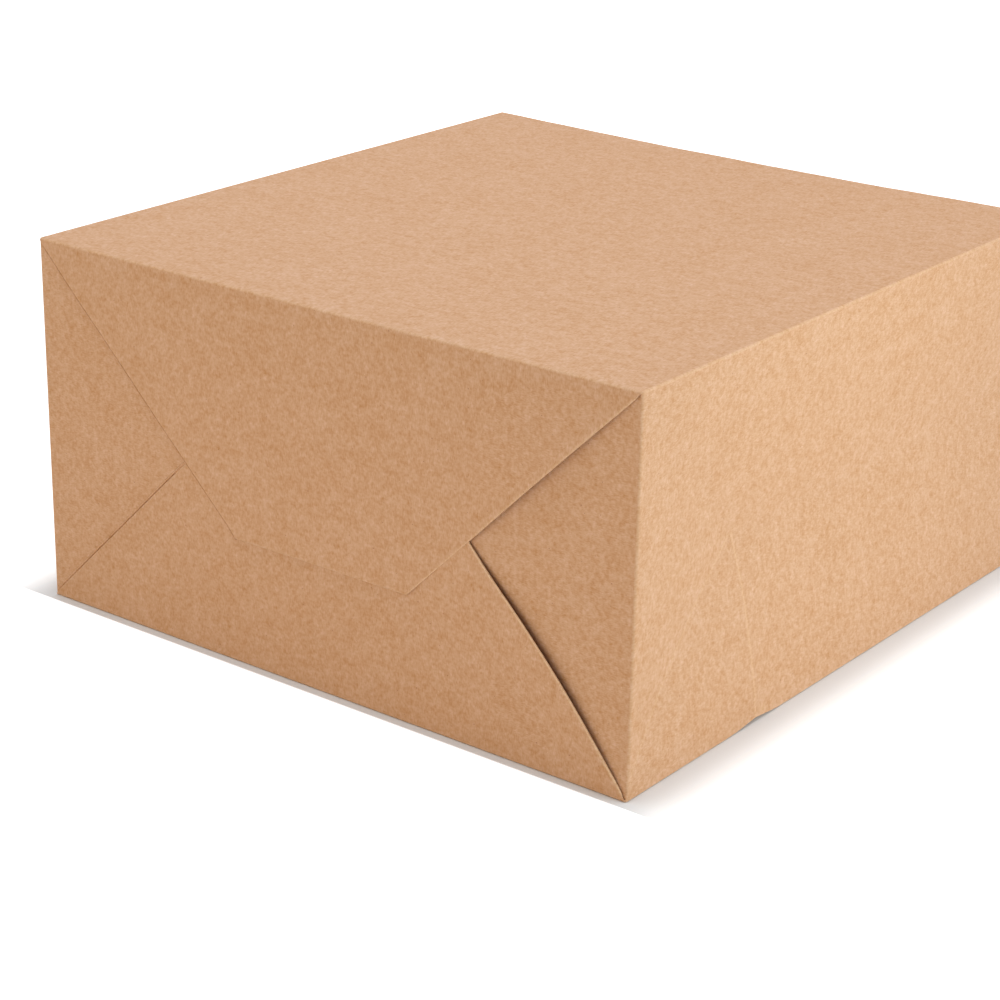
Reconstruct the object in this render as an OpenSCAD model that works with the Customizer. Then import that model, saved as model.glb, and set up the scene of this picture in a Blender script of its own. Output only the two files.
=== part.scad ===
// A block-bottom paper bag lying on one broad panel, its base towards -Y and its open mouth
// towards +Y. One sheet is folded into a tube, glued along a lap seam, and its base end is
// tucked in at both sides and closed by two glued flaps.

/* [Bag] */
// Width of the two broad panels
bag_w = 320; // [250:1:480]
// Width of the two side panels, which is the bag's height as it lies
bag_d = 169; // [130:1:215]
// Length from the base to the mouth
bag_len = 330; // [220:1:600]

/* [Paper] */
// Thickness of the paper
paper_t = 0.25; // [0.15:0.05:0.4]
// Outside radius of a pressed fold between two panels
fold_r = 0.8; // [0.6:0.1:2]
// Flat steps round such a fold
fold_steps = 4; // [2:1:8]
// Colour of the unbleached paper
paper_colour = "#D3A57C"; // ["#D3A57C", "#C4946A", "#E0BC96"]

/* [Lap seam] */
// Width of paper glued over itself along the resting panel
seam_lap = 22; // [10:1:40]
// Place of the seam's outer cut edge across the resting panel
seam_x = 11; // [-60:1:60]
// Width over which the overlapped sheet comes back level
seam_ease = 3; // [1:0.5:8]

/* [Base flaps] */
// Paper folded in over the base from each panel
flap_len = 111; // [90:1:120]
// Radius of the soft double fold along a flap's slanting edge
slant_r = 0.5; // [0.4:0.05:1]
// How far the loose slanting edge of the lower flap stands off
loose_lift = 2.8; // [0.5:0.1:6]
// How far into the flap that loose edge lifts it
loose_reach = 45; // [15:1:80]

/* [Flat-fold creases] */
// Depth to which a side panel's middle is pushed in at the crease point
gusset_in = 12; // [2:0.5:25]
// Depth of that middle crease at the mouth
mouth_in = 10; // [2:0.5:25]
// Distance of the crease point from the base
apex_y = 83; // [60:1:110]
// Height above the corner at which a slanting crease starts
slant_start = 11; // [5:1:25]
// Distance from the base to the crease across the resting panel
cross_y = 93; // [75:1:125]
// Height of the low ridge along that crease
ridge_h = 1.2; // [0.2:0.1:3]
// Half width of that ridge
ridge_reach = 24; // [8:1:50]

/* [Hidden] */
layers = 5; // sheets that lie on one another where the two base flaps overlap
edge_layers = 3; // sheets at the base's long edges
side_rows = 5; // steps between two creases across half a side panel
edge_steps = 14; // steps along a slanting flap edge
flap_cols = 9; // steps across the lower flap
crease_gap = 1.5; // least distance between two creases that run to one point
seam_gap = 0.05; // the seam's outer edge as a narrow upright step
weld = 0.15; // share of the fold radius by which a flap runs into its fold
ply_gap = 0.06; // air between the two plies of the loose edge
loose_end = 1.05; // where that edge is held down again, just under the upper flap
loose_shape = 0.8; // how full its bow is, where 1 is a sine
round_fn = 10; // facets round a slanting fold
half_w = bag_w / 2;
mid_z = bag_d / 2;
loose_top = loose_lift + (edge_layers - 1) * paper_t + slant_r;
proud = max(0, loose_top - layers * paper_t);
face_y = (proud - bag_len) / 2;
inner_y = face_y + layers * paper_t;
mouth_y = face_y + bag_len;
inside_len = mouth_y - inner_y;
root = fold_r * (1 - weld);

function lerp(a, b, m) = a + (b - a) * m;

// Creases of a side panel at height z: [distance from the base, depth pushed in]
function slant_crease(z) = [
    lookup(z, [[slant_start, crease_gap], [mid_z, apex_y], [bag_d - slant_start, crease_gap]]),
    lookup(z, [[slant_start, 0], [mid_z, gusset_in], [bag_d - slant_start, 0]])
];
function cross_crease(z) = [
    lookup(z, [[0, cross_y], [mid_z, apex_y + crease_gap], [bag_d, cross_y]]),
    lookup(z, [[0, 0], [mid_z, gusset_in], [bag_d, 0]])
];
function mouth_edge(z) = [inside_len, lookup(z, [[0, 0], [mid_z, mouth_in], [bag_d, 0]])];

before = 1 - ridge_reach / (cross_y - crease_gap);
after = ridge_reach / (inside_len - cross_y);

// Places along the wall at height z: [distance from the base, depth, share of the ridge]
function stations(z) = [
    [each slant_crease(z), 0],
    [each lerp(slant_crease(z), cross_crease(z), before), 0],
    [each cross_crease(z), 1],
    [each lerp(cross_crease(z), mouth_edge(z), after), 0],
    [each lerp(cross_crease(z), mouth_edge(z), (1 + after) / 2), 0],
    [each mouth_edge(z), 0]
];

// Heights of the points across a side panel, with one at each crease
side_z = [
    fold_r,
    for (i = [0:side_rows]) lerp(slant_start, mid_z, i / side_rows),
    for (i = [1:side_rows]) lerp(mid_z, bag_d - slant_start, i / side_rows),
    bag_d - fold_r
];

// Points round the outside of the tube: [x, z, inward x, inward z, sheets in front of the
// base's inner face, rise of the resting panel]
function fold_arc(cx, cz, from, first, last) = [
    for (i = [1:fold_steps - 1])
        let (a = from + 90 * i / fold_steps)
        [cx + fold_r * cos(a), cz + fold_r * sin(a), -cos(a), -sin(a),
         lerp(first, last, i / fold_steps), 0]
];
in_w = half_w - fold_r;
in_d = bag_d - fold_r;
rim = [
    for (z = side_z) [half_w, z, -1, 0, 1, 0],
    each fold_arc(in_w, in_d, 0, 1, edge_layers),
    [in_w, bag_d, 0, -1, edge_layers, 0],
    [-in_w, bag_d, 0, -1, edge_layers, 0],
    each fold_arc(-in_w, in_d, 90, edge_layers, 1),
    for (i = [len(side_z) - 1:-1:0]) [-half_w, side_z[i], 1, 0, 1, 0],
    each fold_arc(-in_w, fold_r, 180, 1, edge_layers),
    [-in_w, 0, 0, 1, edge_layers, 1],
    [seam_x, 0, 0, 1, edge_layers, 1],
    [seam_x + seam_gap, paper_t, 0, 1, edge_layers, 1],
    [seam_x + seam_ease, 0, 0, 1, edge_layers, 1],
    [in_w, 0, 0, 1, edge_layers, 1],
    each fold_arc(in_w, fold_r, 270, edge_layers, 1)
];

// A point of the wall at rim point p, set in by the depth and lifted by the rise
function wall_point(p, inset, y, rise = 0) = [p[0] + p[2] * inset, y, p[1] + p[3] * inset + rise];

// The round of the fold between the wall and the base, at offset o inside the outer face
function base_round(p, o) =
    let (y = inner_y - p[4] * paper_t, r = fold_r - o)
    [
        wall_point(p, fold_r * (1 - weld / 2), y + o),
        for (i = [1:fold_steps])
            let (a = 90 * i / fold_steps)
            wall_point(p, fold_r - r * sin(a), y + fold_r - r * cos(a))
    ];
function wall_line(p, o) = [
    for (s = stations(p[1]))
        let (depth = abs(p[2]) == 1 ? s[1] : 0)
        wall_point(p, depth + o, inner_y + s[0], p[5] * s[2] * ridge_h)
];
function reversed(list) = [for (i = [len(list) - 1:-1:0]) list[i]];
function wall_loop(p) = [
    each base_round(p, 0),
    each wall_line(p, 0),
    each reversed(wall_line(p, paper_t)),
    each reversed(base_round(p, paper_t))
];

// Closed walls with their folds, creases and thickness
module tube() {
    loops = [for (p = rim) wall_loop(p)];
    m = len(loops[0]);
    n = len(loops);
    polyhedron(
        points = [for (l = loops) each l],
        faces = [
            for (j = [0:n - 1], i = [0:m - 1])
                let (a = j * m, b = (j + 1) % n * m, k = (i + 1) % m)
                each [[a + i, b + k, a + k], [a + i, b + i, b + k]]
        ],
        convexity = 6
    );
}

// Paper between the front points of a grid and the same points one sheet further in
module sheet(grid) {
    rows = len(grid);
    cols = len(grid[0]);
    back = rows * cols;
    function at(r, c) = r * cols + c;
    ring = [
        for (c = [0:cols - 1]) at(0, c),
        for (r = [1:rows - 1]) at(r, cols - 1),
        for (c = [cols - 2:-1:0]) at(rows - 1, c),
        for (r = [rows - 2:-1:1]) at(r, 0)
    ];
    polyhedron(
        points = [
            for (row = grid) each row,
            for (row = grid) for (p = row) p + [0, paper_t, 0]
        ],
        faces = [
            for (r = [0:rows - 2], c = [0:cols - 2])
                each [
                    [at(r, c), at(r + 1, c), at(r + 1, c + 1)],
                    [at(r, c), at(r + 1, c + 1), at(r, c + 1)],
                    [back + at(r, c), back + at(r + 1, c + 1), back + at(r + 1, c)],
                    [back + at(r, c), back + at(r, c + 1), back + at(r + 1, c + 1)]
                ],
            for (i = [0:len(ring) - 1])
                let (a = ring[i], b = ring[(i + 1) % len(ring)])
                each [[a, b, back + b], [a, back + b, back + a]]
        ],
        convexity = 4
    );
}

// Front face of the sheet that lies on a number of others
function level(sheets) = inner_y - (sheets + 1) * paper_t;

// A flat or gently tilted piece of one sheet between corners [x, z, sheets beneath]
module panel(corners) {
    hull()
        for (c = corners)
            translate([c[0], level(c[2]), c[1]])
                cube([seam_gap, paper_t, seam_gap]);
}

// A soft double fold through points [x, y, z]
module slant_fold(route) {
    for (i = [0:len(route) - 2])
        hull()
            for (p = [route[i], route[i + 1]])
                translate(p)
                    sphere(r = slant_r, $fn = round_fn);
}

// Side of the tube's end, tucked in flat across the base
module side_tuck() {
    panel([
        [half_w - root, root, 0],
        [half_w - root, bag_d - root, 0],
        [half_w - flap_len, bag_d - root, 0],
        [half_w - flap_len, root, 0]
    ]);
}

// Sheets beneath the upper flap's inner ply at height z
function upper_under(z) = lookup(z, [[flap_len, edge_layers], [bag_d, 1]]);

// Upper flap, the outermost, with the plies folded under it along its slanting edges
module upper_flap() {
    end_z = bag_d - flap_len;
    step_z = max(flap_len, end_z + 1);
    top_z = bag_d - root;
    function edge(z) = half_w - (bag_d - z);
    module band(low, high)
        panel([for (z = [low, high], side = [-1, 1]) [side * edge(z), z, upper_under(z) + 1]]);
    module ply(side, low, high)
        panel([
            for (z = [low, high], x = [edge(z), edge(end_z)])
                [side * x, z, upper_under(z)]
        ]);
    function fold_at(side, z) = [side * (edge(z) - slant_r), level(upper_under(z)), z];
    band(end_z, step_z);
    band(step_z, top_z);
    for (side = [-1, 1]) {
        ply(side, end_z, step_z);
        ply(side, step_z, top_z);
        slant_fold([for (z = [end_z + slant_r, step_z, top_z - slant_r]) fold_at(side, z)]);
    }
}

// How far the loose edge stands off at a share q of its length up to the upper flap
function loose_edge(q) =
    q > 0 && q < loose_end ? loose_lift * pow(sin(180 * q / loose_end), loose_shape) : 0;

// How far the lower flap stands off at x, z, which is nothing at its root
function loose(x, z) =
    let (
        along = (half_w - x + z) / 2,
        away = max((half_w - z - x) / sqrt(2), 0),
        rise = min(z / max(half_w - x, root), 1)
    )
    away < loose_reach ? loose_edge(along / mid_z) * rise * pow(1 - away / loose_reach, 2) : 0;

// Lower flap, its right slanting edge standing off, with the plies folded under it
module lower_flap() {
    function row_z(i) = lerp(root, flap_len, i / edge_steps);
    function share(j) = 1 - pow(1 - j / flap_cols, 2);
    function front(x, z) = [x, level(2) - loose(x, z), z];
    // Left to right, with closer steps towards the loose edge
    sheet([
        for (i = [0:edge_steps])
            [for (j = [0:flap_cols]) front((half_w - row_z(i)) * lerp(-1, 1, share(j)), row_z(i))]
    ]);
    // Ply under the loose edge, hinged along the base's lower edge
    sheet([
        for (i = [0:edge_steps])
            let (x = half_w - row_z(i))
            [for (w = [0:0.25:1])
                let (z = lerp(root / 2, row_z(i), w))
                [x, level(1) - loose(x, z) * w + ply_gap, z]]
    ]);
    panel([
        [-half_w + root, root, 1],
        [-half_w + flap_len, flap_len, 1],
        [-half_w + flap_len, root, 1]
    ]);
    slant_fold([
        for (z = [row_z(1) / 2, flap_len - slant_r])
            [-half_w + z + slant_r, level(1), z]
    ]);
    slant_fold([
        for (i = [0:edge_steps])
            let (z = min(row_z(i), flap_len - slant_r))
            [half_w - z - slant_r, level(1) - loose(half_w - z, z), z]
    ]);
}

// Paper glued inside the resting panel, up to the seam's outer edge
module lap() {
    line = stations(0);
    for (i = [0:len(line) - 2])
        hull()
            for (s = [line[i], line[i + 1]])
                translate([seam_x - seam_lap, inner_y + s[0] - seam_gap, paper_t + s[2] * ridge_h])
                    cube([seam_lap + seam_gap, seam_gap, paper_t]);
}

module bag() color(paper_colour) {
    tube();
    lap();
    side_tuck();
    mirror([1, 0, 0]) side_tuck();
    lower_flap();
    upper_flap();
}

bag();
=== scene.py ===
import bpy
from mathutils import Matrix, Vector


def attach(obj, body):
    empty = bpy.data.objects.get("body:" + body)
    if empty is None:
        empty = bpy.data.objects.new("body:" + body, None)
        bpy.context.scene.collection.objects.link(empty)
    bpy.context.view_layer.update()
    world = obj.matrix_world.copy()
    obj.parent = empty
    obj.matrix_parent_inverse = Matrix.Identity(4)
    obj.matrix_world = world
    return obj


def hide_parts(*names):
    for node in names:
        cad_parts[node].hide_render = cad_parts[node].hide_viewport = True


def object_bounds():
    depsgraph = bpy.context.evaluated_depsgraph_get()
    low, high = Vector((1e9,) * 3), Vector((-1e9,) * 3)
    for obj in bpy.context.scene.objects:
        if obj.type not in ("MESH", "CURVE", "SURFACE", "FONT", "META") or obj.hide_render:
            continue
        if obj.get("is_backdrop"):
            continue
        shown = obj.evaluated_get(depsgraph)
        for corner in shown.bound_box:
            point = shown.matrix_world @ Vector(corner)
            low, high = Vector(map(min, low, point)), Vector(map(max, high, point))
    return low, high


bl_info = {
    "name": "Kraft paper bag",
    "version": (1, 0, 0),
    "blender": (4, 5, 0),
    "location": "View3D > Sidebar > Paper bag",
    "description": "Folds a block-bottom bag out of one sheet of kraft paper and sets up its stage",
    "category": "Add Mesh",
}

import math

import bpy
import numpy as np
from mathutils import Euler, Vector

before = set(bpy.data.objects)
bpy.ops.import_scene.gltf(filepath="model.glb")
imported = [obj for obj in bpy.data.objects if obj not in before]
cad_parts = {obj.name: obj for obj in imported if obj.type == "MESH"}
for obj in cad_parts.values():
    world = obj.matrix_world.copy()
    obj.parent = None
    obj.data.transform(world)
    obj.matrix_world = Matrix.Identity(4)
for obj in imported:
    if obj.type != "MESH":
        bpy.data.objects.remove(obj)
CAD_LOW, CAD_HIGH = (list(corner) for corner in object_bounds())

MM = 0.001
BODY = "root"
NODE = "bag"
BAG_MATERIAL = "Unbleached kraft paper, machine glazed and folded"
FLOOR_MATERIAL = "Matt white backdrop paper"

WIDTH = round((CAD_HIGH[0] - CAD_LOW[0]) / MM)
DEPTH = round((CAD_HIGH[2] - CAD_LOW[2]) / MM)
MOUTH_Y = CAD_HIGH[1] / MM


def linear(colour):
    """Linear RGB of an sRGB hex colour, with alpha."""
    values = [int(colour[i:i + 2], 16) / 255 for i in (1, 3, 5)]
    return [v / 12.92 if v <= 0.04045 else ((v + 0.055) / 1.055) ** 2.4 for v in values] + [1.0]


# Sizes and finish that a user would change

class BagSizes(bpy.types.PropertyGroup):
    length: bpy.props.FloatProperty(
        name="Length", description="From the base to the mouth, in millimetres", default=330.0)
    paper: bpy.props.FloatProperty(
        name="Paper thickness", description="Thickness of the sheet, in millimetres", default=0.25)
    fold: bpy.props.FloatProperty(
        name="Fold radius", description="Outside radius of a fold between two panels, in millimetres",
        default=1.1)
    flap: bpy.props.FloatProperty(
        name="Base flap", description="Paper folded in over the base, in millimetres", default=111.0)
    gusset: bpy.props.FloatProperty(
        name="Gusset depth", description="Push-in of a side panel at its crease point, in millimetres",
        default=12.0)
    mouth: bpy.props.FloatProperty(
        name="Mouth depth", description="Push-in of a side panel at the mouth, in millimetres",
        default=10.0)
    lift: bpy.props.FloatProperty(
        name="Loose edge", description="How far the lower flap's loose edge stands off, in millimetres",
        default=2.8)
    left_lift: bpy.props.FloatProperty(
        name="Left edges", description="How far the flaps' left edges stand off, in millimetres",
        default=0.36)
    upper_lift: bpy.props.FloatProperty(
        name="Upper edge", description="How far the upper flap's right edge stands off, in millimetres",
        default=2.4)
    sag: bpy.props.FloatProperty(
        name="Sag", description="Sag of the top panel at mid length, in millimetres", default=1.5)
    cockle: bpy.props.FloatProperty(
        name="Cockle", description="Height of the paper's slow waves, in millimetres", default=0.35)
    cockle_size: bpy.props.FloatProperty(
        name="Cockle size", description="Width of one such wave, in millimetres", default=46.0)
    seed: bpy.props.IntProperty(
        name="Seed", description="Which set of slow waves the sheet gets", default=3)


class PaperFinish(bpy.types.PropertyGroup):
    dark: bpy.props.StringProperty(
        name="Dark ground", description="Colour of the darkest ground, as an sRGB hex value",
        default="#BC8855")
    pale: bpy.props.StringProperty(
        name="Pale ground", description="Colour of the palest ground, as an sRGB hex value",
        default="#DAB69A")
    # The broken fibre colour is also a painted highlight on the pressed folds and the slanting fold edges
    broken: bpy.props.StringProperty(
        name="Broken fibre", description="Colour of fibres broken by a fold, as an sRGB hex value",
        default="#E9CBA6")
    mottle: bpy.props.FloatProperty(
        name="Mottle", description="Contrast of the ground", default=1.05, min=0.0, max=2.0)
    crease: bpy.props.FloatProperty(
        name="Crease", description="How pale a crease looks", default=0.42, min=0.0, max=1.0)
    # Paleness of the pressed folds: broken fibres and a painted highlight along the rounded folds
    fold: bpy.props.FloatProperty(
        name="Fold", description="How pale a pressed fold looks", default=0.30, min=0.0, max=1.0)
    # Paleness of the slanting fold edges: broken fibres and a painted highlight, strongest on the flaps'
    # right edges
    edge: bpy.props.FloatProperty(
        name="Slanting edge", description="How pale the base's slanting fold edges look", default=0.95,
        min=0.0, max=1.0)
    bump: bpy.props.FloatProperty(
        name="Relief", description="Strength of the fibre relief", default=0.35, min=0.0, max=1.0)
    roughness: bpy.props.FloatProperty(
        name="Roughness", description="Roughness of the glazed face", default=0.62,
        min=0.0, max=1.0, subtype="FACTOR")


class StageLook(bpy.types.PropertyGroup):
    floor: bpy.props.StringProperty(
        name="Floor", description="Colour of the floor, as an sRGB hex value", default="#F2F1EF")
    shade: bpy.props.StringProperty(
        name="Floor in shade", description="Colour in which the camera sees the floor, as an sRGB hex value",
        default="#E3E6E9")
    lamps: bpy.props.FloatProperty(
        name="Lamps", description="Factor on the power of all soft lamps", default=1.0)
    world: bpy.props.FloatProperty(
        name="Surroundings", description="Strength of the white surroundings", default=0.4)


def sizes():
    return bpy.context.scene.bag_sizes


def finish():
    return bpy.context.scene.paper_finish


def look():
    return bpy.context.scene.stage_look


# Places along the bag, in millimetres from the base's inner face

APEX_Y = 83.0       # crease point in the middle of a side panel
SLANT_START = 11.0  # height above the corner at which a slanting crease starts
CROSS_Y = 93.0      # crease across the broad panels
CREASE_GAP = 1.5    # least distance between two creases that run to one point
RIDGE = 1.2         # height of the low ridge along the crease across the panels
RIDGE_REACH = 24.0  # half width of that ridge
PLY = 0.30          # from one ply of the base to the next
SLANT_R = 0.30      # outside radius of a pressed double fold
SEAM_X = 11.0       # the lap seam's outer cut edge
SEAM_LAP = 22.0     # width of paper glued over itself
POCKET = 3.0        # how far the tuck gives way under the loose edge
SIDE_RIDGE = 1.0    # swell of a side panel along its cross crease
KINK = 1.6          # rise of the foot where the cross crease meets it
BUNCH = (0.0, 0.45, 1.1, 2.4, 5.0)  # distances of the first rows beside a crease
SETTLE = 25.0       # distance over which the slow cockle dies out towards a fold
# Section of a left fold, where the ply below shows past the upper one: distance out, and drop
LEFT_SECTION = ((0.12, 0.10), (0.32, 0.52), (0.48, 0.95), (0.68, 0.78), (1.00, 0.38), (1.30, 0.34),
                (1.55, 0.55), (1.60, 0.95))
# By whether the flap is the lower one: reach, end and fullness of its right edge's bow; how much
# steeper than 45 degrees its left edge runs; and how pale its right and left fold edges are, from
# broken fibres and a painted highlight that is much stronger on the right edges
RIGHT_EDGE = {True: (45.0, 1.05, 0.8), False: (22.0, 1.0, 0.9)}
LEFT_SKEW = {True: 1.016, False: 1.04}
EDGE_PALE_AND_HIGHLIGHT = {True: (1.0, 0.25), False: (0.6, 0.25)}
LEFT_EDGE = (9.0, 1.02, 0.5)
ARC_ROWS = 7        # rows round a slanting fold
PLY_ROWS = 8        # rows of the ply beneath it
DRIFT = 0.18        # slow unevenness of the base, with its seed and the width of a wave
DRIFT_SEED = 11
DRIFT_SIZE = 70.0

HALF_W = WIDTH / 2
MID_Z = DEPTH / 2
SLANT_KNOTS = ((SLANT_START, CREASE_GAP), (39.0, 27.0), (62.0, 53.0), (73.0, 67.5), (MID_Z, APEX_Y))
CROSS_KNOTS = ((0.0, CROSS_Y), (5.0, 92.3), (31.0, 91.0), (52.0, 89.5), (MID_Z, APEX_Y + CREASE_GAP))


def between(value, *knots):
    """Straight lines between knots (place, value)."""
    return float(np.interp(value, [k[0] for k in knots], [k[1] for k in knots]))


def smooth(t):
    """From 0 to 1, level at both ends."""
    t = np.clip(t, 0.0, 1.0)
    return t * t * (3 - 2 * t)


def bell(distance, width):
    """1 on a line and nothing a few widths away."""
    return np.exp(-(np.asarray(distance) / width) ** 2)


def spread(length, steps):
    """Places from 0 to length, drawn together near both ends."""
    near = len(BUNCH) - 1
    first = [min(BUNCH[i], length * i / steps) for i in range(near + 1)]
    last = [length - v for v in reversed(first)]
    middle = np.linspace(first[-1], last[0], steps - 2 * near + 1)[1:-1]
    return np.array(first + list(middle) + last)


class Layout:
    """Levels of the base and points round the tube, from the sizes."""

    def __init__(self):
        s = sizes()
        self.t = s.paper
        self.r = s.fold
        self.base = MOUTH_Y - s.length          # outer plane of the upper flap in the CAD
        self.inner = self.base + 5 * self.t     # inner face of the side tucks
        self.length = MOUTH_Y - self.inner
        self.in_w = HALF_W - self.r
        self.in_d = DEPTH - self.r

    def front(self, plies):
        """Front face of the sheet that lies on so many others."""
        return self.inner - self.t - plies * PLY

    def plies(self, z, lower):
        """Sheets beneath the lower or the upper flap at a height."""
        return 2.0 if lower else between(z, (sizes().flap, 4.0), (self.in_d, 2.0))

    def slant(self, z):
        """Slanting crease of a side panel at a height: distance from the base, and depth."""
        low = min(z, DEPTH - z)
        return between(low, *SLANT_KNOTS), between(low, (SLANT_START, 0.0), (MID_Z, sizes().gusset))

    def cross(self, z):
        """Crease across the side panel at a height: distance from the base, and depth."""
        low = min(z, DEPTH - z)
        return between(low, *CROSS_KNOTS), between(low, (0.0, 0.0), (MID_Z, sizes().gusset))

    def mouth(self, z):
        return self.length, between(z, (0.0, 0.0), (MID_Z, sizes().mouth), (DEPTH, 0.0))


class Surface:
    """Blocks of quads of the paper's outer face, with sheet coordinates and marks for the finish."""

    MARKS = ("crease", "fold", "edge", "free")

    def __init__(self):
        self.points, self.faces, self.uvs = [], [], []
        self.marks = {name: [] for name in self.MARKS}
        self.count = 0

    def add(self, grid, uv, turn=False, **marks):
        rows, cols = grid.shape[:2]
        self.points.append(grid.reshape(-1, 3))
        for name in self.MARKS:
            value = marks.get(name, 0.0)
            self.marks[name].append(np.broadcast_to(np.asarray(value, float), (rows, cols)).reshape(-1))
        for r in range(rows - 1):
            for c in range(cols - 1):
                ring = [(r, c), (r, c + 1), (r + 1, c + 1), (r + 1, c)]
                if turn:
                    ring.reverse()
                self.faces.append([self.count + a * cols + b for a, b in ring])
                self.uvs.extend(uv[a, b] for a, b in ring)
        self.count += rows * cols

    def mesh(self, name):
        mesh = bpy.data.meshes.new(name)
        points = np.concatenate(self.points) * MM
        mesh.from_pydata(points.tolist(), [], self.faces)
        layer = mesh.uv_layers.new(name="sheet")
        layer.data.foreach_set("uv", (np.array(self.uvs) * MM).reshape(-1))
        for mark, values in self.marks.items():
            attribute = mesh.attributes.new(mark, "FLOAT", "POINT")
            attribute.data.foreach_set("value", np.concatenate(values).astype(np.float32))
        return mesh


class Rim:
    """Points round the outside of the tube, from the seam's inner edge to its outer edge."""

    def __init__(self, lay):
        self.x, self.z, self.nx, self.nz = [], [], [], []
        self.plies, self.kind, self.u = [], [], []
        r, t = lay.r, lay.t
        heights = np.concatenate([
            [r], [4.0, 7.5],
            SLANT_START + spread(MID_Z - SLANT_START, 26),
            (MID_Z + spread(DEPTH - SLANT_START - MID_Z, 26))[1:],
            [DEPTH - 7.5, DEPTH - 4.0], [DEPTH - r]])
        right = spread(lay.in_w - SEAM_X, 36) + SEAM_X
        left = spread(lay.in_w + SEAM_X, 40) - lay.in_w
        for x in np.linspace(SEAM_X - SEAM_LAP, SEAM_X, 7):
            self.put(x, t + 0.02, 0, 1, 2, "lap")
        for x in right:
            self.put(x, 0.0, 0, 1, 2, "bottom_right")
        self.corner(lay, lay.in_w, r, 270, 2, 0)
        for z in heights:
            self.put(HALF_W, z, -1, 0, 0, "right")
        self.corner(lay, lay.in_w, lay.in_d, 0, 0, 2)
        for x in reversed(spread(2 * lay.in_w, 76) - lay.in_w):
            self.put(x, DEPTH, 0, -1, 2, "top")
        self.corner(lay, -lay.in_w, lay.in_d, 90, 2, 0)
        for z in reversed(heights):
            self.put(-HALF_W, z, 1, 0, 0, "left")
        self.corner(lay, -lay.in_w, r, 180, 0, 2)
        for x in left:
            self.put(x, 0.0, 0, 1, 2, "bottom_left")
        for name in ("x", "z", "nx", "nz", "plies"):
            setattr(self, name, np.array(getattr(self, name)))
        step = np.hypot(np.diff(self.x), np.diff(self.z))
        self.u = np.concatenate([[0.0], np.cumsum(step)])

    def put(self, x, z, nx, nz, plies, kind):
        self.x.append(x)
        self.z.append(z)
        self.nx.append(nx)
        self.nz.append(nz)
        self.plies.append(plies)
        self.kind.append(kind)

    def corner(self, lay, cx, cz, start, first, last, steps=6):
        for i in range(1, steps):
            a = math.radians(start + 90 * i / steps)
            plies = first + (last - first) * i / steps
            self.put(cx + lay.r * math.cos(a), cz + lay.r * math.sin(a),
                     -math.cos(a), -math.sin(a), plies, "corner")

    def where(self, *kinds):
        return [i for i, k in enumerate(self.kind) if k in kinds]


ARC_STEPS = 6            # rows round the fold between walls and base
SEGMENTS = (20, 24, 44)  # rows from the base to the slanting crease, the cross crease and the mouth
MERGE = 0.02             # points nearer than this are one, in millimetres


def wall_column(lay, rim, j):
    """Rows of one column of the wall: distance from the base, and depth pushed in."""
    # The lap shares the rows of the sheet that it lies on
    z = 0.0 if rim.kind[j] == "lap" else rim.z[j]
    slant_y, slant_depth = lay.slant(z)
    marks = [(lay.r, 0.0), (max(slant_y, lay.r + 1.0), slant_depth), lay.cross(z), lay.mouth(z)]
    ys, depths = [], []
    for k, steps in enumerate(SEGMENTS):
        (y0, d0), (y1, d1) = marks[k], marks[k + 1]
        places = spread(y1 - y0, steps)
        share = places / (y1 - y0)
        cut = slice(0, None) if k == 0 else slice(1, None)
        ys.extend((y0 + places)[cut])
        depths.extend((d0 + (d1 - d0) * share)[cut])
    return np.array(ys), np.array(depths)


def wave(x, y, seed, size):
    """Slow, smooth random waves, from a fixed sum of sines."""
    rng = np.random.default_rng(seed)
    total = np.zeros(np.broadcast(x, y).shape)
    for _ in range(9):
        a = rng.uniform(0, math.tau)
        k = math.tau / (size * rng.uniform(0.6, 1.8))
        total = total + np.sin(k * (math.cos(a) * x + math.sin(a) * y) + rng.uniform(0, math.tau))
    return total / 3.0


def soften(y, depth, reach):
    """Depths along a column, each averaged over a reach either way."""
    if reach < 0.01:
        return depth
    offsets = np.linspace(-reach, reach, 13)
    held = smooth((y - y[0]) / (reach + 2.0))
    mean = np.mean([np.interp(y + o, y, depth) for o in offsets], axis=0)
    return depth + (mean - depth) * held * smooth((y[-1] - y) / (reach + 2.0))


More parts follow.
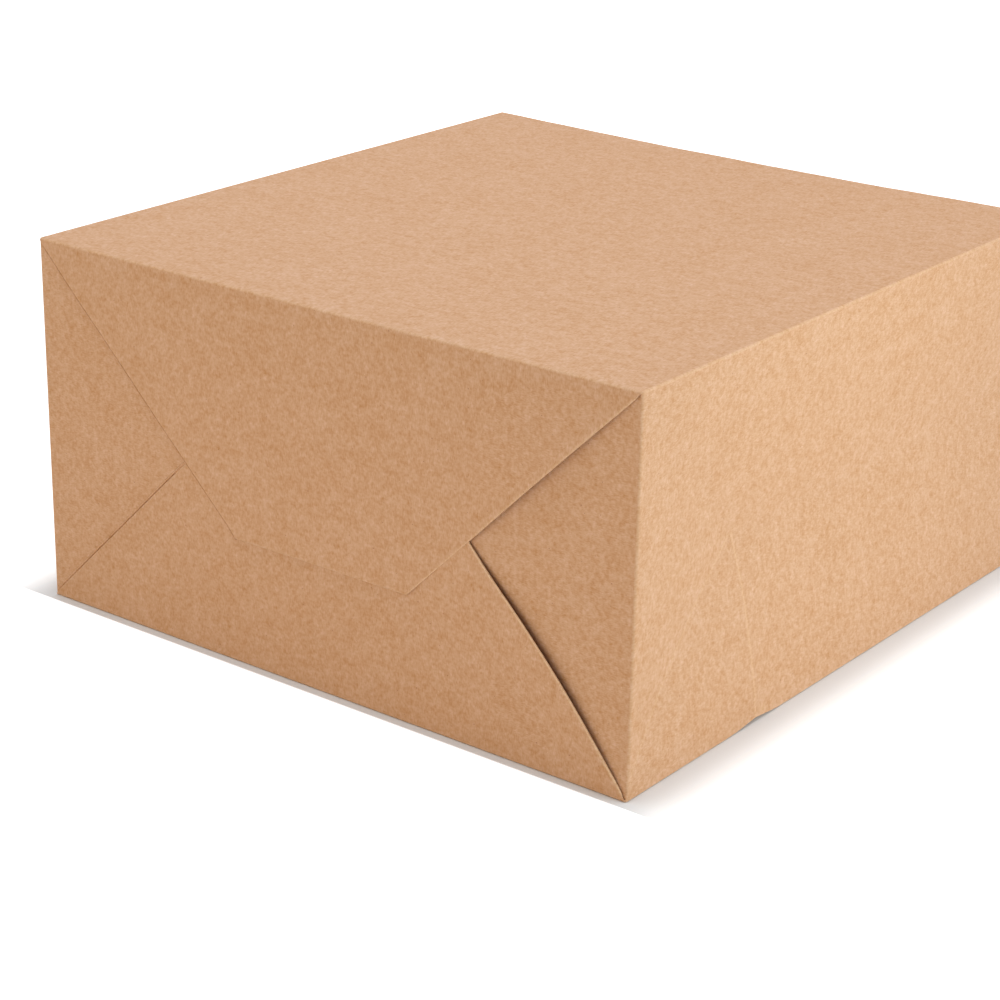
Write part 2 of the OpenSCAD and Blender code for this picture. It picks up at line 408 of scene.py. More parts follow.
def add_walls(surface, lay, rim):
    """The tube's four panels, from the base's fold to the mouth."""
    columns = [wall_column(lay, rim, j) for j in range(len(rim.x))]
    y = np.array([c[0] for c in columns]).T
    # The upper creases are rounder than the lower ones
    depth = np.array([soften(c[0], c[1], 6.0 * float(smooth((rim.z[j] - MID_Z) / 20.0)))
                      for j, c in enumerate(columns)]).T
    kind = np.array(rim.kind)
    side = np.abs(rim.nx) == 1
    low = rim.z < MID_Z
    flat = (rim.nz == 1) & (kind != "corner")
    cross_y = np.array([lay.cross(v)[0] for v in rim.z])
    slant_y = np.array([lay.slant(v)[0] for v in rim.z])

    # Side panels: a swell along the cross crease, and the foot pushed up where it meets the table
    swell = np.where(y < cross_y, smooth(1 - (cross_y - y) / 30.0), smooth(1 - (y - cross_y) / 24.0))
    swell = swell * SIDE_RIDGE * smooth(rim.z / 15.0) * smooth((MID_Z - rim.z) / 25.0)
    depth = (depth - swell) * side
    foot = KINK * np.clip(1 - np.abs(y - CROSS_Y) / 18.0, 0, 1) ** 1.3
    foot = foot * (1 - smooth(rim.z / 14.0)) * (side | (kind == "corner")) * low

    # Broad panels: the low ridge, the lap that comes back level past its edge, and the upper sag
    ridge = RIDGE * smooth(1 - np.abs(y - CROSS_Y) / RIDGE_REACH)
    rise = ridge * np.where(flat, 1.0, 0.0)
    step = np.zeros(len(rim.x))
    for j in rim.where("bottom_right"):
        step[j] = (lay.t + 0.02) * (1 - smooth((rim.x[j] - SEAM_X) / 3.0))
    rise = rise + step * smooth((y - lay.r) / 6.0)
    across = np.clip(1 - (rim.x / lay.in_w) ** 2, 0, 1)
    rise = rise - np.where(kind == "top", sizes().sag * across, 0.0) * smooth((y - 8) / 150.0)

    x = rim.x + rim.nx * depth
    z = rim.z + rim.nz * depth + rise + foot
    z = np.where(flat, np.maximum(z, 0.0), z)
    grid = np.stack([x, lay.inner + y, z], -1)
    uv = np.stack([rim.u + 0 * y, y], -1)

    # The paper is free to cockle away from the folds, so that panels still meet, and off the ground
    free = np.minimum(smooth((HALF_W - np.abs(rim.x)) / SETTLE) * (rim.nz != 0)
                      + smooth(np.minimum(rim.z, DEPTH - rim.z) / SETTLE) * (rim.nz == 0), 1.0)
    free = free * smooth((y - 3) / SETTLE) * np.where(flat, 0.0, 1.0)

    # Pale creases: slanting, across the side and broad panels, along the middle, and at the foot
    slope = (APEX_Y - CREASE_GAP) / (MID_Z - SLANT_START)
    away = (y - slant_y) / math.hypot(1, slope)
    inside = smooth((np.minimum(rim.z, DEPTH - rim.z) - 6) / 8)
    crease = bell(away, 0.5) * inside * side * (0.08 + 0.62 * low)
    crease = crease + bell(y - cross_y, 0.55) * side * (0.10 + 0.90 * low)
    crease = crease + 0.25 * bell(y - CROSS_Y, 0.6) * (1 - side)
    before = smooth((y - 14) / 12) * (y < APEX_Y + 1)
    crease = crease + bell(rim.z - MID_Z, 0.5) * side * (0.10 + 0.22 * before)
    crease = crease + 0.8 * bell(y - 97, 2.2) * bell(rim.z - 3.5, 2.0) * side
    # Pale corner folds: broken fibres and a painted highlight along the rounded fold
    fold = (kind == "corner") * 1.0
    surface.add(grid, uv, turn=True, crease=np.clip(crease, 0, 1), fold=fold, free=free)


def add_base_folds(surface, lay, rim):
    """Rounds the sheet from the walls over to the base. Returns the last row and its coordinates."""
    rows, uvs = [], []
    for i in range(ARC_STEPS + 1):
        a = math.radians(90 * i / ARC_STEPS)
        inset = lay.r * (1 - math.cos(a))
        y = lay.front(rim.plies) + lay.r * (1 - math.sin(a))
        rows.append(np.stack([rim.x + rim.nx * inset, y + 0 * rim.x, rim.z + rim.nz * inset], -1))
        uvs.append(np.stack([rim.u, lay.r - lay.r * a + 0 * rim.x], -1))
    grid, uv = np.array(rows), np.array(uvs)
    # The first row meets the wall's first row
    grid[0, :, 1] = lay.inner + lay.r
    keep = [j for j, kind in enumerate(rim.kind) if kind != "lap"]
    share = np.linspace(0, 1, ARC_STEPS + 1)[:, None]
    # Pale fold over to the base: broken fibres and a painted highlight along its round
    surface.add(grid[:, keep], uv[:, keep], fold=bell(share - 0.5, 0.32))
    return grid[-1], uv[-1]


def stand_off(x, z, lift, edge):
    """How far a flap stands off near its right slanting edge, at x and distance z from its root."""
    reach, end, fullness = edge
    along = (HALF_W - x + z) / 2
    away = np.maximum((HALF_W - z - x) / math.sqrt(2), 0)
    q = np.clip(along / MID_Z / end, 0, 1)
    rise = np.minimum(z / np.maximum(HALF_W - x, 0.5), 1)
    near = np.clip(1 - away / reach, 0, 1) ** 2
    return lift * np.sin(math.pi * q) ** fullness * rise * near * smooth((z - 1.1) / 3.0)


def open_fold(d):
    """How far the lower flap's right fold has opened past its 45 degree line, square to that line."""
    return 8.1 * np.sin(math.pi / 2 * np.clip(d / 56.6, 0, 1)) - 1.3 * smooth((d - 60) / 25)


def base_drift(x, z):
    """Slow unevenness of the base, nothing at its upper and lower folds."""
    border = smooth(np.minimum(z, DEPTH - z) / 30.0)
    return DRIFT * wave(x, z, DRIFT_SEED, DRIFT_SIZE) * border


def folded_edge(lay, lower, d, side, half, lift, pale):
    """One row of the sheet folded under a slanting edge, from the edge on: its points and their marks."""
    flip = 1 if lower else -1
    base_z = 0.0 if lower else DEPTH
    z = base_z + flip * d
    y = lay.front(lay.plies(z, lower))
    grown = smooth((d - lay.r) / 3.0)
    radius = 0.05 + (SLANT_R - 0.05) * grown
    opened = radius + 0.12 * min(lift, 1.0)
    if side > 0:
        turns = [math.pi * k / ARC_ROWS for k in range(1, ARC_ROWS + 1)]
        section = [(opened * math.sin(a), opened * (1 - math.cos(a))) for a in turns]
    else:
        section = [(out * grown, drop * grown) for out, drop in LEFT_SECTION]
    points, marks = [], []
    for k, (out, drop) in enumerate(section):
        push = out / math.sqrt(2)
        points.append([side * (half + push), y - lift + drop, z + flip * push])
        # Pale round of the fold: broken fibres and a painted highlight that fades round the arc
        marks.append(pale * (1.0 - 0.5 * k / ARC_ROWS))
    # Then straight back to the corner, on the ply below
    for k in range(1, PLY_ROWS + 1):
        w = 1 - k / PLY_ROWS
        zz = base_z + flip * (0.6 + (d - 0.6) * w)
        rest = lay.front(lay.plies(zz, lower)) + 2 * radius
        points.append([side * half, rest + (2 * (opened - radius) - lift) * w, zz])
        marks.append(0.0)
    return np.array(points), marks


def unrolled(points, d, start, onward):
    """Sheet coordinates of a row that runs on past a flap's edge."""
    steps = np.linalg.norm(np.diff(points, axis=0), axis=1)
    run = np.concatenate([[0.0], np.cumsum(steps)])
    return np.stack([start + onward * (run + 0.1), np.full(len(points), -d)], -1)


def add_flap(surface, lay, root, root_uv, lower):
    """One base flap with the plies folded under its slanting edges.

    root is the row of points where the base's fold ends, from left to right."""
    s = sizes()
    flip = 1 if lower else -1
    base_z = 0.0 if lower else DEPTH
    right_lift = s.lift if lower else s.upper_lift
    # Paleness of the right and left fold edges: broken fibres and a painted highlight, stronger on the right
    right_pale_and_highlight, left_pale_and_highlight = EDGE_PALE_AND_HIGHLIGHT[lower]
    onward = np.sign(root_uv[-1, 0] - root_uv[0, 0])
    share = root[:, 0] / lay.in_w
    rows, uvs, edges = [], [], []
    for d in lay.r + spread(s.flap - lay.r, 62):
        z = base_z + flip * d
        y = lay.front(lay.plies(z, lower))
        grown = smooth((d - lay.r) / 3.0)
        opened = math.sqrt(2) * float(open_fold(d)) * grown if lower else 0.0
        right = lay.in_w - (d - lay.r) + opened
        left = lay.in_w - (d - lay.r) * LEFT_SKEW[lower]
        x = np.where(share > 0, share * right, share * left)
        # The upper flap's end lies proud by its own fold
        tip = 0.0 if lower else 0.5 * float(smooth((d - s.flap + 6.0) / 6.0))
        off = stand_off(x, d, right_lift, RIGHT_EDGE[lower]) + tip
        off = off + stand_off(-x, d, s.left_lift, LEFT_EDGE)
        ends = np.array([right, -left])
        end_off = stand_off(ends, d, right_lift, RIGHT_EDGE[lower]) + tip
        end_off = end_off + stand_off(-ends, d, s.left_lift, LEFT_EDGE)
        row = np.stack([x, y - off, np.full_like(x, z)], -1)
        uv = np.stack([root_uv[0, 0] + onward * (x - root[0, 0]), np.full_like(x, -d)], -1)
        # Pale lines along the slanting fold edges, partly a painted highlight; the pale cut end below is raw
        # fibre
        edge = (right_pale_and_highlight * bell(right - x, 0.5) + left_pale_and_highlight * bell(x + left, 0.5)) * grown
        edge = np.maximum(edge, 0.6 * float(bell(s.flap - d, 0.3)))
        under_right, mark_right = folded_edge(lay, lower, d, 1, right, end_off[0], right_pale_and_highlight)
        under_left, mark_left = folded_edge(lay, lower, d, -1, left, end_off[1], 0.0)
        uv_right = unrolled(under_right, d, uv[-1, 0], onward)
        uv_left = unrolled(under_left, d, uv[0, 0], -onward)
        rows.append(np.concatenate([under_left[::-1], row, under_right]))
        uvs.append(np.concatenate([uv_left[::-1], uv, uv_right]))
        edges.append(np.concatenate([mark_left[::-1], edge, mark_right]))
    grid, uv, edge = np.array(rows), np.array(uvs), np.array(edges)
    grid[..., 1] += base_drift(grid[..., 0], grid[..., 2])
    surface.add(grid, uv, turn=not lower, edge=edge)


def add_tuck(surface, lay, root, root_uv, side):
    """A side panel's end, folded in flat beneath the flaps."""
    rows, uvs = [], []
    for d in lay.r + spread(sizes().flap - lay.r, 40):
        row = root.copy()
        row[:, 0] = side * (HALF_W - d)
        rows.append(row)
        uvs.append(np.stack([root_uv[:, 0], np.full(len(root), -d)], -1))
    grid, uv = np.array(rows), np.array(uvs)
    inward = smooth((HALF_W - np.abs(grid[..., 0]) - lay.r) / 20.0)
    grid[..., 1] += base_drift(grid[..., 0], grid[..., 2]) * inward
    if side > 0:
        # It gives way beneath the lower flap's loose edge
        depth, height = HALF_W - grid[..., 0], grid[..., 2]
        along = (depth + height) / 2
        under = (depth - height) / math.sqrt(2) + open_fold(along)
        share = smooth((under - 0.5) / 7.0) * smooth(along / 25.0) * smooth((95.0 - along) / 12.0)
        grid[..., 1] += POCKET * share
    surface.add(grid, uv)


def bag_surface():
    """The whole sheet's outer face, block by block."""
    lay = Layout()
    rim = Rim(lay)
    surface = Surface()
    add_walls(surface, lay, rim)
    row, row_uv = add_base_folds(surface, lay, rim)
    low = rim.where("bottom_left") + rim.where("bottom_right")[1:]
    low_uv = row_uv[low]
    low_uv[:, 0] = low_uv[0, 0] + row[low, 0] - row[low[0], 0]
    add_flap(surface, lay, row[low], low_uv, lower=True)
    top = rim.where("top")[::-1]
    add_flap(surface, lay, row[top], row_uv[top], lower=False)
    for name, side in (("right", 1), ("left", -1)):
        index = rim.where(name)
        add_tuck(surface, lay, row[index], row_uv[index], side)
    return surface


# Material

def node(tree, kind, at=(0, 0), settings=None, **inputs):
    """Adds a node with its settings, and its inputs as values or links."""
    new = tree.nodes.new(kind)
    new.location = at
    for name, value in (settings or {}).items():
        setattr(new, name, value)
    for name, value in inputs.items():
        key = int(name[1:]) if name[0] == "i" and name[1:].isdigit() else name.replace("_", " ")
        socket = new.inputs[key]
        if isinstance(value, bpy.types.NodeSocket):
            tree.links.new(value, socket)
        else:
            socket.default_value = value
    return new


# Settings that several nodes share
ADD = {"operation": "ADD"}
SUBTRACT = {"operation": "SUBTRACT"}
TIMES = {"operation": "MULTIPLY"}
TIMES_PLUS = {"operation": "MULTIPLY_ADD"}
HELD = {"operation": "MULTIPLY_ADD", "use_clamp": True}
HELD_TIMES = {"operation": "MULTIPLY", "use_clamp": True}
COLOURS = {"data_type": "RGBA"}
SMOOTH = {"interpolation_type": "SMOOTHSTEP"}
FLAT_NOISE = {"noise_dimensions": "2D"}

# Noise layers of the ground colour: size of a spot in millimetres, its stretch along the sheet, detail
# and weight. Single fibres are 0.03 mm wide and don't show, so the finest layers stand for their tangles
GROUND = (
    ("formation", 34.0, 0.9, 1.0, 0.15),
    ("cloud", 7.5, 0.9, 2.0, 0.42),
    ("floc", 2.8, 0.88, 1.0, 0.53),
    ("grain", 1.35, 0.88, 1.0, 0.56),
    ("felt", 0.65, 0.88, 0.0, 0.09),
)
# Fibres that show: turn in degrees, length and width of a spot in millimetres, drawn ten times too
# coarse, because the camera can't tell a single one
FIBRES = ((8.0, 2.6, 0.34), (-34.0, 2.2, 0.30), (47.0, 1.9, 0.32))
# Flecks of bark and of pale pulp: spacing and radius in millimetres, share of places that hold one
FLECKS = (
    (7.0, 0.30, 0.30, "#8C5630"),
    (11.0, 0.42, 0.35, "#9A5A36"),
    (9.0, 0.26, 0.35, "#E8CDAA"),
)


def kraft_paper():
    """Unbleached kraft: long softwood fibres, pressed smooth on one face. The eye gets a cloudy tan
    ground, a felt of paler and darker fibres, a few flecks of bark, and pale broken fibres on creases
    and folds; on the folds and slanting fold edges that paleness is partly a painted highlight."""
    made = finish()
    material = bpy.data.materials.new(BAG_MATERIAL)
    material.use_nodes = True
    tree = material.node_tree
    tree.nodes.clear()
    sheet = node(tree, "ShaderNodeUVMap", (-2400, 0), {"uv_map": "sheet"}).outputs[0]

    # Ground: clouds of fibre from 34 mm down to 0.6 mm
    total = 0.0
    layers = {}
    for i, (name, size, stretch, detail, weight) in enumerate(GROUND):
        at = 900 - 260 * i
        shift = 13.7 * (i + 1)
        place = node(tree, "ShaderNodeMapping", (-2100, at), Vector=sheet,
                     Location=(shift, shift * 0.7, 0.0),
                     Scale=(1000 / size, 1000 / (size * stretch), 1.0))
        noise = node(tree, "ShaderNodeTexNoise", (-1900, at), FLAT_NOISE, Vector=place.outputs[0],
                     Scale=1.0, Detail=detail, Roughness=0.55)
        layers[name] = noise.outputs[0]
        centred = node(tree, "ShaderNodeMath", (-1700, at), SUBTRACT, i0=layers[name], i1=0.5)
        total = node(tree, "ShaderNodeMath", (-1500, at), TIMES_PLUS, i0=centred.outputs[0], i1=weight,
                     i2=total).outputs[0]

    # Felt of single fibres, pale and dark, in three directions
    hair = 0.0
    for i, (turn, length, width) in enumerate(FIBRES):
        at = -500 - 260 * i
        shift = 5.3 * (i + 1)
        place = node(tree, "ShaderNodeMapping", (-2100, at), Vector=sheet,
                     Location=(shift, shift * 0.7, 0.0), Rotation=(0.0, 0.0, math.radians(turn)),
                     Scale=(1000 / width, 1000 / length, 1.0))
        noise = node(tree, "ShaderNodeTexNoise", (-1900, at), FLAT_NOISE, Vector=place.outputs[0],
                     Scale=1.0, Detail=0.0, Distortion=0.35)
        pale = node(tree, "ShaderNodeMapRange", (-1700, at), Value=noise.outputs[0], From_Min=0.58,
                    From_Max=0.74)
        dark = node(tree, "ShaderNodeMapRange", (-1700, at - 120), Value=noise.outputs[0], From_Min=0.42,
                    From_Max=0.28)
        both = node(tree, "ShaderNodeMath", (-1500, at), SUBTRACT, i0=pale.outputs[0], i1=dark.outputs[0])
        hair = node(tree, "ShaderNodeMath", (-1300, at), ADD, i0=hair, i1=both.outputs[0]).outputs[0]
    total = node(tree, "ShaderNodeMath", (-1100, 300), TIMES_PLUS, i0=hair, i1=0.09, i2=total)
    share = node(tree, "ShaderNodeMath", (-900, 300), HELD, i0=total.outputs[0], i1=made.mottle, i2=0.5)
    ground = node(tree, "ShaderNodeMix", (-700, 300), COLOURS, i0=share.outputs[0],
                  i6=linear(made.dark), i7=linear(made.pale)).outputs[2]

    # Flecks
    for i, (spacing, radius, chance, colour) in enumerate(FLECKS):
        at = -1400 - 260 * i
        shift = 3.1 * (i + 2)
        place = node(tree, "ShaderNodeMapping", (-2100, at), Vector=sheet,
                     Location=(shift, shift * 0.7, 0.0), Rotation=(0.0, 0.0, math.radians(31.0 * i)),
                     Scale=(1000 / spacing, 1000 / spacing, 1.0))
        cell = node(tree, "ShaderNodeTexVoronoi", (-1900, at), {"voronoi_dimensions": "2D"},
                    Vector=place.outputs[0], Scale=1.0)
        lot = node(tree, "ShaderNodeSeparateColor", (-1700, at), Color=cell.outputs["Color"])
        reach = node(tree, "ShaderNodeMath", (-1500, at), TIMES, i0=lot.outputs[1], i1=radius / spacing)
        core = node(tree, "ShaderNodeMath", (-1300, at), TIMES, i0=reach.outputs[0], i1=0.35)
        near = node(tree, "ShaderNodeMapRange", (-1100, at), Value=cell.outputs["Distance"],
                    From_Min=reach.outputs[0], From_Max=core.outputs[0])
        there = node(tree, "ShaderNodeMath", (-1100, at - 120), {"operation": "LESS_THAN"},
                     i0=lot.outputs[0], i1=chance)
        seen = node(tree, "ShaderNodeMath", (-900, at), TIMES, i0=near.outputs[0], i1=there.outputs[0])
        amount = node(tree, "ShaderNodeMath", (-700, at), TIMES, i0=seen.outputs[0], i1=0.75)
        ground = node(tree, "ShaderNodeMix", (-500 + 160 * i, 300), COLOURS, i0=amount.outputs[0],
                      i6=ground, i7=linear(colour)).outputs[2]

    # Folding breaks the surface fibres, which then look paler. On the pressed folds and slanting fold
    # edges the paleness is also a painted highlight, strongest along the flaps' right edges
    crease = node(tree, "ShaderNodeAttribute", (-900, 1300), {"attribute_name": "crease"})
    fold = node(tree, "ShaderNodeAttribute", (-900, 1100), {"attribute_name": "fold"})
    edge = node(tree, "ShaderNodeAttribute", (-900, 900), {"attribute_name": "edge"})
    tangle = node(tree, "ShaderNodeMath", (-700, 700), TIMES, i0=layers["felt"], i1=0.5)
    broken = node(tree, "ShaderNodeMath", (-500, 700), HELD, i0=layers["grain"], i1=0.7,
                  i2=tangle.outputs[0])
    worn_and_highlight = node(tree, "ShaderNodeMath", (-700, 1300), TIMES, i0=crease.outputs["Fac"], i1=made.crease)
    worn_and_highlight = node(tree, "ShaderNodeMath", (-500, 1200), TIMES_PLUS, i0=fold.outputs["Fac"], i1=made.fold,
                i2=worn_and_highlight.outputs[0])
    worn_and_highlight = node(tree, "ShaderNodeMath", (-300, 1100), TIMES_PLUS, i0=edge.outputs["Fac"], i1=made.edge,
                i2=worn_and_highlight.outputs[0])
    worn_and_highlight = node(tree, "ShaderNodeMath", (-100, 1000), HELD_TIMES, i0=worn_and_highlight.outputs[0], i1=broken.outputs[0])
    colour = node(tree, "ShaderNodeMix", (200, 300), COLOURS, i0=worn_and_highlight.outputs[0], i6=ground,
                  i7=linear(made.broken))

    # Relief of the tangles, and a sheen that varies with them
    rough = node(tree, "ShaderNodeMath", (200, 0), HELD, i0=layers["grain"], i1=0.16,
                 i2=made.roughness - 0.08)
    low = node(tree, "ShaderNodeMath", (-300, -300), TIMES, i0=layers["grain"], i1=0.6)
    middle = node(tree, "ShaderNodeMath", (-100, -300), TIMES_PLUS, i0=layers["felt"], i1=0.5,
                  i2=low.outputs[0])
    height = node(tree, "ShaderNodeMath", (100, -300), TIMES_PLUS, i0=hair, i1=0.25, i2=middle.outputs[0])
    bump = node(tree, "ShaderNodeBump", (300, -300), Strength=made.bump, Distance=0.00012,
                Height=height.outputs[0])
    paper = node(tree, "ShaderNodeBsdfPrincipled", (600, 0), Base_Color=colour.outputs[2],
                 Roughness=rough.outputs[0], Specular_IOR_Level=0.22, Normal=bump.outputs[0])
    node(tree, "ShaderNodeOutputMaterial", (900, 0), Surface=paper.outputs[0])
    return material


def slack_paper():
    """Node tree that closes the folded sheet, lets it cockle where it is free, and gives it its finish."""
    tree = bpy.data.node_groups.new("slack_paper", "GeometryNodeTree")
    for name, kind in (("Sheet", "NodeSocketGeometry"), ("Merge distance", "NodeSocketFloat"),
                       ("Cockle height", "NodeSocketFloat"), ("Cockle size", "NodeSocketFloat"),
                       ("Seed", "NodeSocketInt"), ("Finish", "NodeSocketMaterial")):
        tree.interface.new_socket(name=name, in_out="INPUT", socket_type=kind)
    tree.interface.new_socket(name="Sheet", in_out="OUTPUT", socket_type="NodeSocketGeometry")
    given = node(tree, "NodeGroupInput", (-1200, 0)).outputs
    closed = node(tree, "GeometryNodeMergeByDistance", (-900, 200), Geometry=given["Sheet"],
                  Distance=given["Merge distance"])
    # Damp paper swells unevenly: one slow wave for each cockle size, up or down by the cockle height
    place = node(tree, "GeometryNodeInputPosition", (-1200, -300))
    pitch = node(tree, "ShaderNodeMath", (-900, -200), {"operation": "DIVIDE"}, i0=1.0,
                 i1=given["Cockle size"])
    noise = node(tree, "ShaderNodeTexNoise", (-700, -200), {"noise_dimensions": "4D"},
                 Vector=place.outputs[0], W=given["Seed"], Scale=pitch.outputs[0], Detail=1.0)
    wave = node(tree, "ShaderNodeMapRange", (-500, -200), {"clamp": False}, Value=noise.outputs[0],
                From_Min=0.25, From_Max=0.75, To_Min=-1.0, To_Max=1.0)
    free = node(tree, "GeometryNodeInputNamedAttribute", (-700, -500), {"data_type": "FLOAT"}, Name="free")
    allowed = node(tree, "ShaderNodeMath", (-300, -300), TIMES, i0=free.outputs[0],
                   i1=given["Cockle height"])
    rise = node(tree, "ShaderNodeMath", (-100, -200), TIMES, i0=wave.outputs[0], i1=allowed.outputs[0])
    outward = node(tree, "GeometryNodeInputNormal", (-100, -400))
    offset = node(tree, "ShaderNodeVectorMath", (100, -300), {"operation": "SCALE"},
                  Vector=outward.outputs[0], Scale=rise.outputs[0])
    cockled = node(tree, "GeometryNodeSetPosition", (300, 0), Geometry=closed.outputs[0],
                   Offset=offset.outputs[0])
    real = node(tree, "GeometryNodeRealizeInstances", (500, 0), Geometry=cockled.outputs[0])
    finished = node(tree, "GeometryNodeSetMaterial", (700, 0), Geometry=real.outputs[0],
                    Material=given["Finish"])
    node(tree, "NodeGroupOutput", (900, 0), Sheet=finished.outputs[0])
    return tree


# Pieces

class PAPERBAG_OT_bag(bpy.types.Operator):
    """Fold the bag out of one sheet, with its creases, tucks and base flaps"""
    bl_idname = "paperbag.bag"
    bl_label = "Fold the bag"

    def execute(self, context):
        mesh = bag_surface().mesh("kraft_bag")
        piece = bpy.data.objects.new("kraft_bag", mesh)
        context.scene.collection.objects.link(piece)
        slack = piece.modifiers.new("slack", "NODES")
        slack.node_group = slack_paper()
        given = {"Merge distance": MERGE * MM, "Cockle height": sizes().cockle * MM,
                 "Cockle size": sizes().cockle_size * MM, "Seed": sizes().seed, "Finish": kraft_paper()}
        for item in slack.node_group.interface.items_tree:
            if item.name in given:
                slack[item.identifier] = given[item.name]
        thick = piece.modifiers.new("thickness", "SOLIDIFY")
        thick.thickness = sizes().paper * MM
        thick.offset = -1.0
        thick.use_even_offset = False
        evaluated = piece.evaluated_get(context.evaluated_depsgraph_get())
        final = bpy.data.meshes.new_from_object(evaluated, preserve_all_data_layers=True,
                                                depsgraph=context.evaluated_depsgraph_get())
        piece.modifiers.clear()
        piece.data = final
        final.name = "kraft_bag"
        for polygon in final.polygons:
            polygon.use_smooth = True
        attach(piece, BODY)
        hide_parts(NODE)
        return {"FINISHED"}


# The photograph's viewpoint, solved from the bag's corners: place in metres, turn in degrees, lens
VIEW_PLACE = (0.66217, -0.90707, 0.47445)
VIEW_TURN = (68.7353, -1.0022, 37.6983)
VIEW_LENS = 93.156
FLOOR_REACH = 6.0  # half width of the floor, in metres
# Soft lamps: name, place, aim, width, height, power and colour. The two near the floor stand for the
# light that the floor throws back, warm in front of the base
LAMPS = (
    ("above", (0.0, 0.0, 2.2), (0.0, 0.0, 0.08), 1.45, 1.45, 28.0, "#FEFDFF"),
    ("right", (2.1, 0.8, 0.9), (0.05, 0.1, 0.08), 1.1, 1.1, 5.8, "#FAF0FF"),
    ("right_back", (1.2, 1.6, 0.6), (0.1, 0.0, 0.08), 1.0, 1.0, 4.9, "#FFFAFB"),
    ("left_back", (-1.6, 1.3, 1.6), (0.0, 0.0, 0.08), 1.25, 1.25, 3.7, "#FFF9FC"),
    ("left_front", (-1.5, -1.8, 1.0), (0.0, 0.0, 0.08), 1.25, 1.25, 4.4, "#FFF2C3"),
    ("low_front", (-0.6, -2.2, 0.3), (0.0, 0.0, 0.08), 0.9, 0.9, 1.6, "#FFD830"),
    ("floor_front", (0.0, -0.5, 0.01), (0.0, -0.16, 0.12), 0.9, 0.35, 0.75, "#FFD9B4"),
    ("floor_right", (0.5, 0.0, 0.01), (0.16, 0.0, 0.12), 0.35, 0.9, 2.2, "#F2FFF6"),
)


class PAPERBAG_OT_stage(bpy.types.Operator):
    """Lay the white floor, set the soft lights and place the camera"""
    bl_idname = "paperbag.stage"
    bl_label = "Set the stage"

    def execute(self, context):
        scene = context.scene
        scene.view_settings.view_transform = "Standard"
        camera = bpy.data.cameras.new("camera")
        camera.lens = VIEW_LENS
        camera.sensor_width = 36.0
        eye = bpy.data.objects.new("camera", camera)
        eye.location = VIEW_PLACE
        eye.rotation_euler = Euler([math.radians(v) for v in VIEW_TURN])
        scene.collection.objects.link(eye)
        scene.camera = eye
        mesh = bpy.data.meshes.new("floor")
        corners = [(x * FLOOR_REACH, y * FLOOR_REACH, 0.0) for x, y in ((-1, -1), (1, -1), (1, 1), (-1, 1))]
        mesh.from_pydata(corners, [], [(0, 1, 2, 3)])
        floor = bpy.data.objects.new("floor", mesh)
        scene.collection.objects.link(floor)
        floor.data.materials.append(white_floor())
        floor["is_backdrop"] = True
        for name, place, aim, wide, high, power, colour in LAMPS:
            lamp = bpy.data.lights.new(name, "AREA")
            lamp.shape = "RECTANGLE"
            lamp.size, lamp.size_y = wide, high
            lamp.energy = power * look().lamps
            lamp.color = linear(colour)[:3]
            light = bpy.data.objects.new(name, lamp)
            light.location = place
            light.rotation_euler = (Vector(aim) - Vector(place)).to_track_quat("-Z", "Y").to_euler()
            light.visible_camera = False
            scene.collection.objects.link(light)
        white_world(scene)
        return {"FINISHED"}


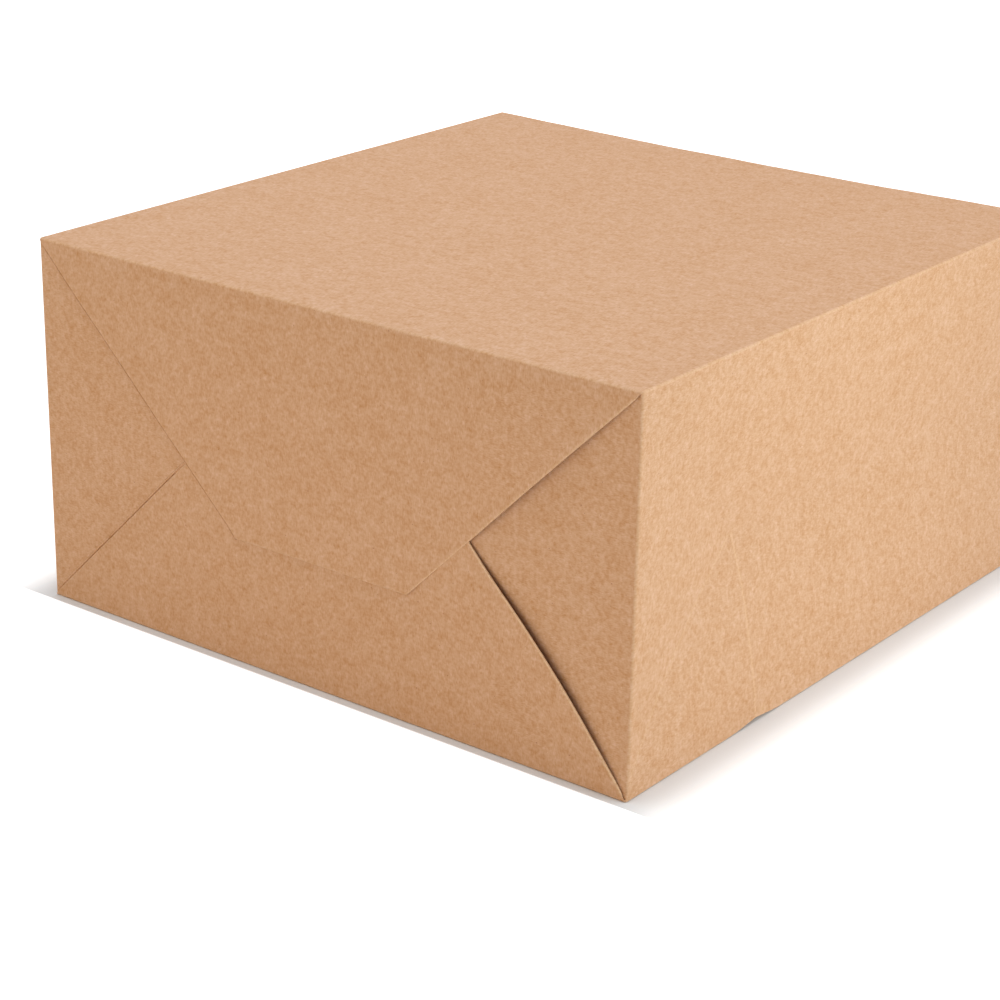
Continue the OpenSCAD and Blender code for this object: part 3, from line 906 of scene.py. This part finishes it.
def white_floor():
    """White paper that the camera sees a little overexposed, but for the bag's shadow beside it."""
    material = bpy.data.materials.new(FLOOR_MATERIAL)
    material.use_nodes = True
    tree = material.node_tree
    tree.nodes.clear()
    place = node(tree, "ShaderNodeTexCoord", (-1500, 0)).outputs["Object"]
    parts = node(tree, "ShaderNodeSeparateXYZ", (-1300, 0), Vector=place).outputs
    aside = node(tree, "ShaderNodeMath", (-1100, 200), {"operation": "ABSOLUTE"}, i0=parts["X"])
    along = node(tree, "ShaderNodeMath", (-1100, 0), {"operation": "ABSOLUTE"}, i0=parts["Y"])
    beside = node(tree, "ShaderNodeMath", (-900, 200), SUBTRACT, i0=aside.outputs[0], i1=HALF_W * MM)
    before = node(tree, "ShaderNodeMath", (-900, 0), SUBTRACT, i0=along.outputs[0], i1=MOUTH_Y * MM - 0.001)
    away = node(tree, "ShaderNodeMath", (-700, 100), {"operation": "MAXIMUM"}, i0=beside.outputs[0],
                i1=before.outputs[0])
    clear = node(tree, "ShaderNodeMapRange", (-500, 100), SMOOTH, Value=away.outputs[0], From_Min=0.0,
                 From_Max=0.001)
    # How much brighter the camera sees it: at the side, before the base, and far off
    side = node(tree, "ShaderNodeMapRange", (-500, 400), SMOOTH, Value=beside.outputs[0], From_Min=0.0,
                From_Max=0.032, To_Min=0.0, To_Max=0.6)
    front = node(tree, "ShaderNodeMapRange", (-500, -200), SMOOTH, Value=parts["Y"], From_Min=-0.1668,
                 From_Max=-0.1688, To_Min=0.0, To_Max=1.0)
    length = node(tree, "ShaderNodeVectorMath", (-1100, -300), {"operation": "LENGTH"}, i0=place)
    far = node(tree, "ShaderNodeMapRange", (-500, -500), SMOOTH, Value=length.outputs["Value"],
               From_Min=0.3, From_Max=1.0, To_Min=0.0, To_Max=1.0)
    near = node(tree, "ShaderNodeMath", (-300, 100), {"operation": "MAXIMUM"}, i0=side.outputs[0],
                i1=front.outputs[0])
    most = node(tree, "ShaderNodeMath", (-100, 0), {"operation": "MAXIMUM"}, i0=near.outputs[0],
                i1=far.outputs[0])
    glow = node(tree, "ShaderNodeMath", (100, 0), TIMES, i0=most.outputs[0], i1=clear.outputs[0])
    matt = node(tree, "ShaderNodeBsdfDiffuse", (300, 200), Color=linear(look().floor))
    seen = node(tree, "ShaderNodeBsdfDiffuse", (300, 0), Color=linear(look().shade))
    shine = node(tree, "ShaderNodeEmission", (300, -200), Color=(1, 1, 1, 1), Strength=glow.outputs[0])
    both = node(tree, "ShaderNodeAddShader", (500, -100), i0=seen.outputs[0], i1=shine.outputs[0])
    path = node(tree, "ShaderNodeLightPath", (300, 500))
    mix = node(tree, "ShaderNodeMixShader", (700, 0), i0=path.outputs["Is Camera Ray"],
               i1=matt.outputs[0], i2=both.outputs[0])
    node(tree, "ShaderNodeOutputMaterial", (900, 0), Surface=mix.outputs[0])
    return material


def white_world(scene):
    """Soft white surroundings, a full white to the camera and pale in a sheen."""
    world = bpy.data.worlds.new("white surroundings")
    scene.world = world
    world.use_nodes = True
    tree = world.node_tree
    tree.nodes.clear()
    path = node(tree, "ShaderNodeLightPath", (-600, 300)).outputs
    soft = node(tree, "ShaderNodeBackground", (-600, 0), Color=(1, 1, 1, 1), Strength=look().world)
    gloss = node(tree, "ShaderNodeBackground", (-600, -150), Color=(1, 1, 1, 1), Strength=0.6)
    white = node(tree, "ShaderNodeBackground", (-600, -300), Color=(1, 1, 1, 1), Strength=1.0)
    both = node(tree, "ShaderNodeMixShader", (-300, 0), i0=path["Is Glossy Ray"], i1=soft.outputs[0],
                i2=gloss.outputs[0])
    mix = node(tree, "ShaderNodeMixShader", (0, 0), i0=path["Is Camera Ray"], i1=both.outputs[0],
               i2=white.outputs[0])
    node(tree, "ShaderNodeOutputWorld", (300, 0), Surface=mix.outputs[0])


class PAPERBAG_PT_panel(bpy.types.Panel):
    """Sizes, finish and steps of the paper bag"""
    bl_idname = "PAPERBAG_PT_panel"
    bl_label = "Paper bag"
    bl_space_type = "VIEW_3D"
    bl_region_type = "UI"
    bl_category = "Paper bag"

    def draw(self, context):
        for group in (context.scene.bag_sizes, context.scene.paper_finish, context.scene.stage_look):
            box = self.layout.box()
            for name in group.__annotations__:
                box.prop(group, name)
        for step in STEPS:
            self.layout.operator(step.bl_idname)


STEPS = (PAPERBAG_OT_bag, PAPERBAG_OT_stage)
GROUPS = (("bag_sizes", BagSizes), ("paper_finish", PaperFinish), ("stage_look", StageLook))


def register():
    for name, group in GROUPS:
        bpy.utils.register_class(group)
        setattr(bpy.types.Scene, name, bpy.props.PointerProperty(type=group))
    for cls in STEPS + (PAPERBAG_PT_panel,):
        bpy.utils.register_class(cls)


def unregister():
    for cls in (PAPERBAG_PT_panel,) + STEPS:
        bpy.utils.unregister_class(cls)
    for name, group in GROUPS:
        delattr(bpy.types.Scene, name)
        bpy.utils.unregister_class(group)


def main():
    register()
    bpy.ops.paperbag.bag()
    bpy.ops.paperbag.stage()


if __name__ == "__main__":
    main()
